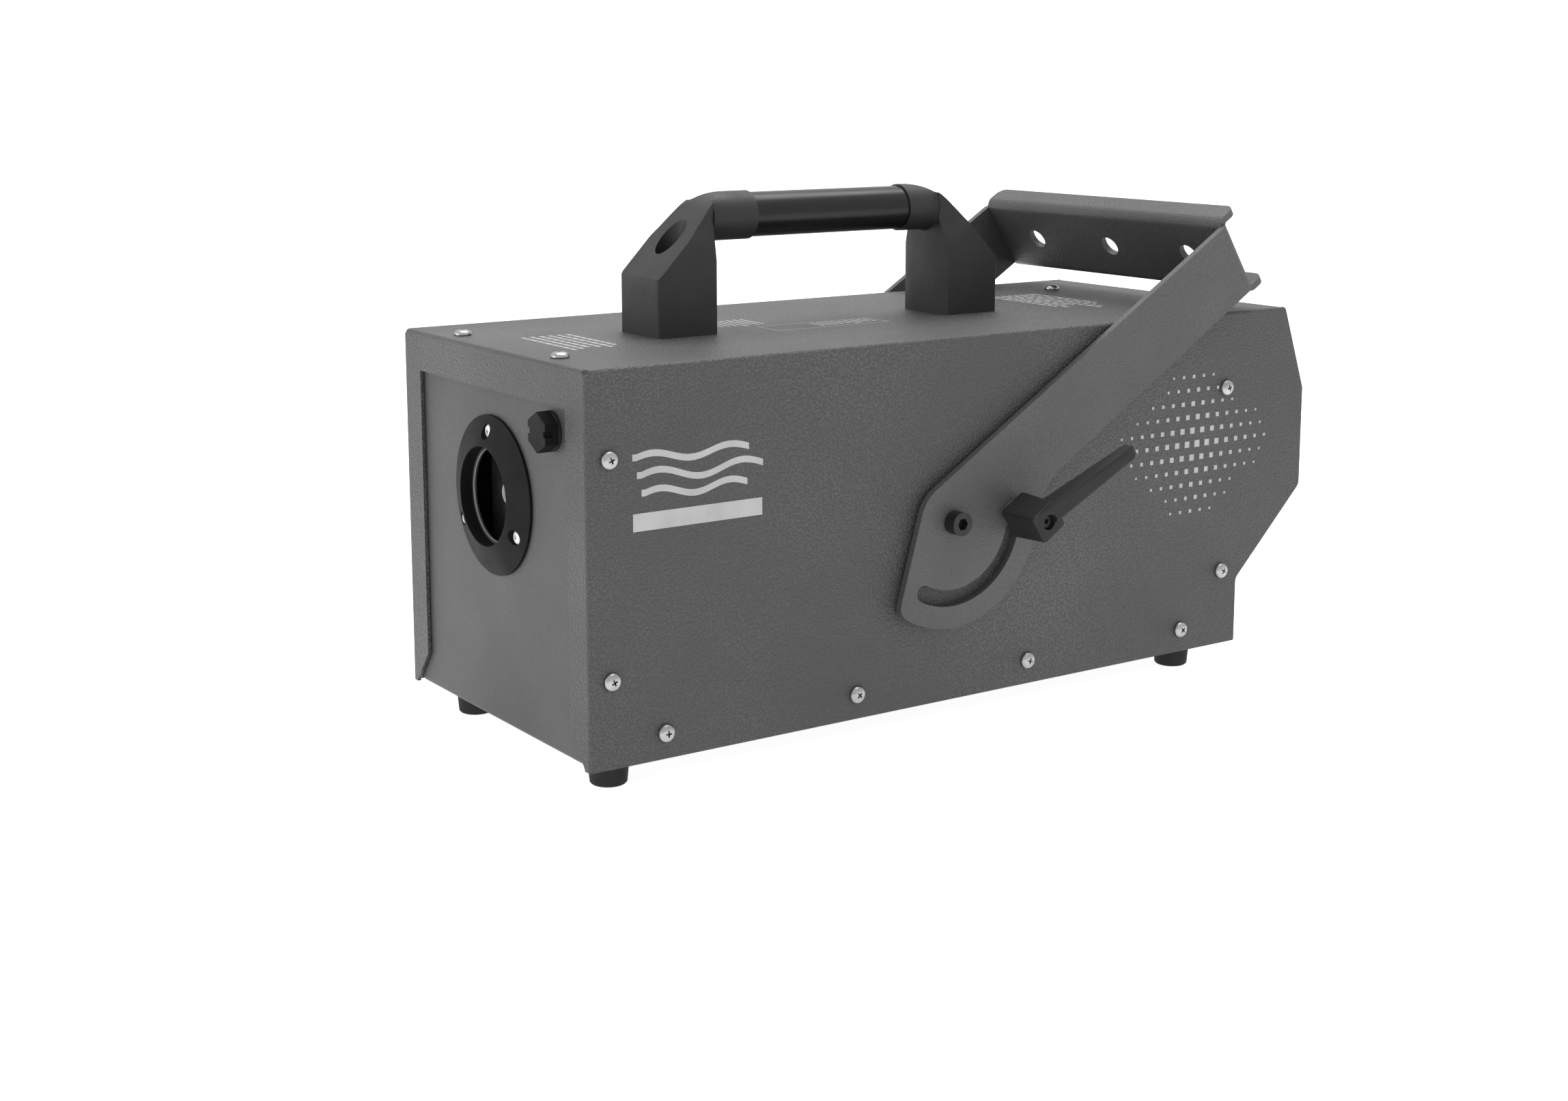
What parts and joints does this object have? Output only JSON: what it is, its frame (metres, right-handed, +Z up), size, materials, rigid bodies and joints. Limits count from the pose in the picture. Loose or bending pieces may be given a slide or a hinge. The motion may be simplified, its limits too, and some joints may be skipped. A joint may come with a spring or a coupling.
{
  "type": "fog machine",
  "caption": "Rectangular sheet metal fog machine with a carrying handle, a clamped tilting yoke, a round fog outlet and recessed rear controls.",
  "frame": {"origin": "centre of the outline at the bottom of the feet", "axes": "+Z up, -Y towards the fog outlet, +X to the right of the outlet as the machine faces the viewer"},
  "size_m": [0.302, 0.5034, 0.2926],
  "materials": {
    "cover_paint": "fine textured grey powder coat",
    "tray_paint": "fine textured grey powder coat",
    "yoke_paint": "fine textured grey powder coat",
    "nickel_screw": "nickel plated",
    "black_screw": "black oxide",
    "zinc_steel": "zinc plated sheet and bar",
    "foot_rubber": "matte moulded",
    "black_plastic": "fine matte moulded",
    "gloss_black": "smooth moulded",
    "black_tube": "black anodised",
    "brass": "turned",
    "cast_aluminium": "cast and machined",
    "insulation": "needled fibre board",
    "blue_tape": "taped winding",
    "clear_hose": "heat resistant hose",
    "board_green": "populated circuit board",
    "display_glass": "smoked window",
    "red_plastic": "smooth moulded",
    "spring_steel": "drawn wire"
  },
  "bodies": {
    "machine": {"base_tray": "tray_paint", "cover": "cover_paint", "rear_panel": "tray_paint", "side_screws": "nickel_screw", "top_screws": "nickel_screw", "rubber_feet": "foot_rubber", "foot_screws": "zinc_steel", "nozzle_ring": "black_plastic", "ring_screws": "nickel_screw", "vent_plug": "black_plastic", "vent_gasket": "foot_rubber", "vent_nut": "black_plastic", "handle_front_leg": "black_plastic", "handle_rear_leg": "black_plastic", "handle_tube": "black_tube", "handle_screws": "black_screw", "pivot_plates": "zinc_steel", "pivot_screws": "black_screw", "pivot_bushes": "brass", "clamp_spacers": "black_plastic", "nozzle_tip": "brass", "heater_block": "cast_aluminium", "heating_rods": "zinc_steel", "heater_jacket": "insulation", "heater_brackets": "zinc_steel", "thermostat": "zinc_steel", "thermal_fuse": "zinc_steel", "pump_coil": "blue_tape", "pump_head": "brass", "pump_bracket": "zinc_steel", "pump_mounts": "foot_rubber", "supply_hose": "clear_hose", "feed_hose": "clear_hose", "fluid_coupling": "zinc_steel", "power_board": "board_green", "control_board": "board_green", "board_standoffs": "brass", "display_window": "display_glass", "power_inlet": "gloss_black", "breaker_body": "gloss_black", "switch_housing": "gloss_black", "data_input": "gloss_black", "data_output": "gloss_black", "panel_screws": "black_screw"},
    "yoke": {"yoke": "yoke_paint"},
    "lever_core_right": {"lever_hub_right": "zinc_steel", "lever_screw_right": "black_screw", "lever_spring_right": "spring_steel"},
    "lever_grip_right": {"lever_handle_right": "black_plastic"},
    "lever_core_left": {"lever_hub_left": "zinc_steel", "lever_screw_left": "black_screw", "lever_spring_left": "spring_steel"},
    "lever_grip_left": {"lever_handle_left": "black_plastic"},
    "button_menu": {"button_menu": "gloss_black"},
    "button_up": {"button_up": "gloss_black"},
    "button_down": {"button_down": "gloss_black"},
    "button_enter": {"button_enter": "gloss_black"},
    "breaker_button": {"breaker_button": "red_plastic"},
    "switch_rocker": {"switch_rocker": "red_plastic"},
    "output_latch": {"output_latch": "zinc_steel"}
  },
  "joints": [
    {"name": "yoke_tilt", "type": "hinge", "parent": "machine", "child": "yoke", "pos_m": [0, -0.0238, 0.11775], "axis": [1, 0, 0], "range_deg": [0, 116]},
    {"name": "lever_turn_right", "type": "hinge", "parent": "machine", "child": "lever_core_right", "pos_m": [0.109, 0.0182, 0.11775], "axis": [1, 0, 0], "range_deg": [0, 120]},
    {"name": "lever_lift_right", "type": "slide", "parent": "lever_core_right", "child": "lever_grip_right", "axis": [1, 0, 0], "range_m": [0, 0.0045], "stiffness_N_per_m": 800, "springref_m": -0.001, "deforming": ["lever_spring_right"]},
    {"name": "lever_turn_left", "type": "hinge", "parent": "machine", "child": "lever_core_left", "pos_m": [-0.109, 0.0182, 0.11775], "axis": [-1, 0, 0], "range_deg": [0, 120]},
    {"name": "lever_lift_left", "type": "slide", "parent": "lever_core_left", "child": "lever_grip_left", "axis": [-1, 0, 0], "range_m": [0, 0.0045], "stiffness_N_per_m": 800, "springref_m": -0.001, "deforming": ["lever_spring_left"]},
    {"name": "press_menu", "type": "slide", "parent": "machine", "child": "button_menu", "axis": [0, -1, 0], "range_m": [0, 0.0012], "stiffness_N_per_m": 500, "springref_m": -0.0008},
    {"name": "press_up", "type": "slide", "parent": "machine", "child": "button_up", "axis": [0, -1, 0], "range_m": [0, 0.0012], "stiffness_N_per_m": 500, "springref_m": -0.0008},
    {"name": "press_down", "type": "slide", "parent": "machine", "child": "button_down", "axis": [0, -1, 0], "range_m": [0, 0.0012], "stiffness_N_per_m": 500, "springref_m": -0.0008},
    {"name": "press_enter", "type": "slide", "parent": "machine", "child": "button_enter", "axis": [0, -1, 0], "range_m": [0, 0.0012], "stiffness_N_per_m": 500, "springref_m": -0.0008},
    {"name": "press_breaker", "type": "slide", "parent": "machine", "child": "breaker_button", "axis": [0, 1, 0], "range_m": [0, 0.003]},
    {"name": "rock_switch", "type": "hinge", "parent": "machine", "child": "switch_rocker", "pos_m": [0.008, 0.1962, 0.0945], "axis": [-1, 0, 0], "range_deg": [0, 20]},
    {"name": "press_latch", "type": "slide", "parent": "machine", "child": "output_latch", "axis": [0, -1, 0], "range_m": [0, 0.0015], "stiffness_N_per_m": 500, "springref_m": -0.0008}
  ]
}
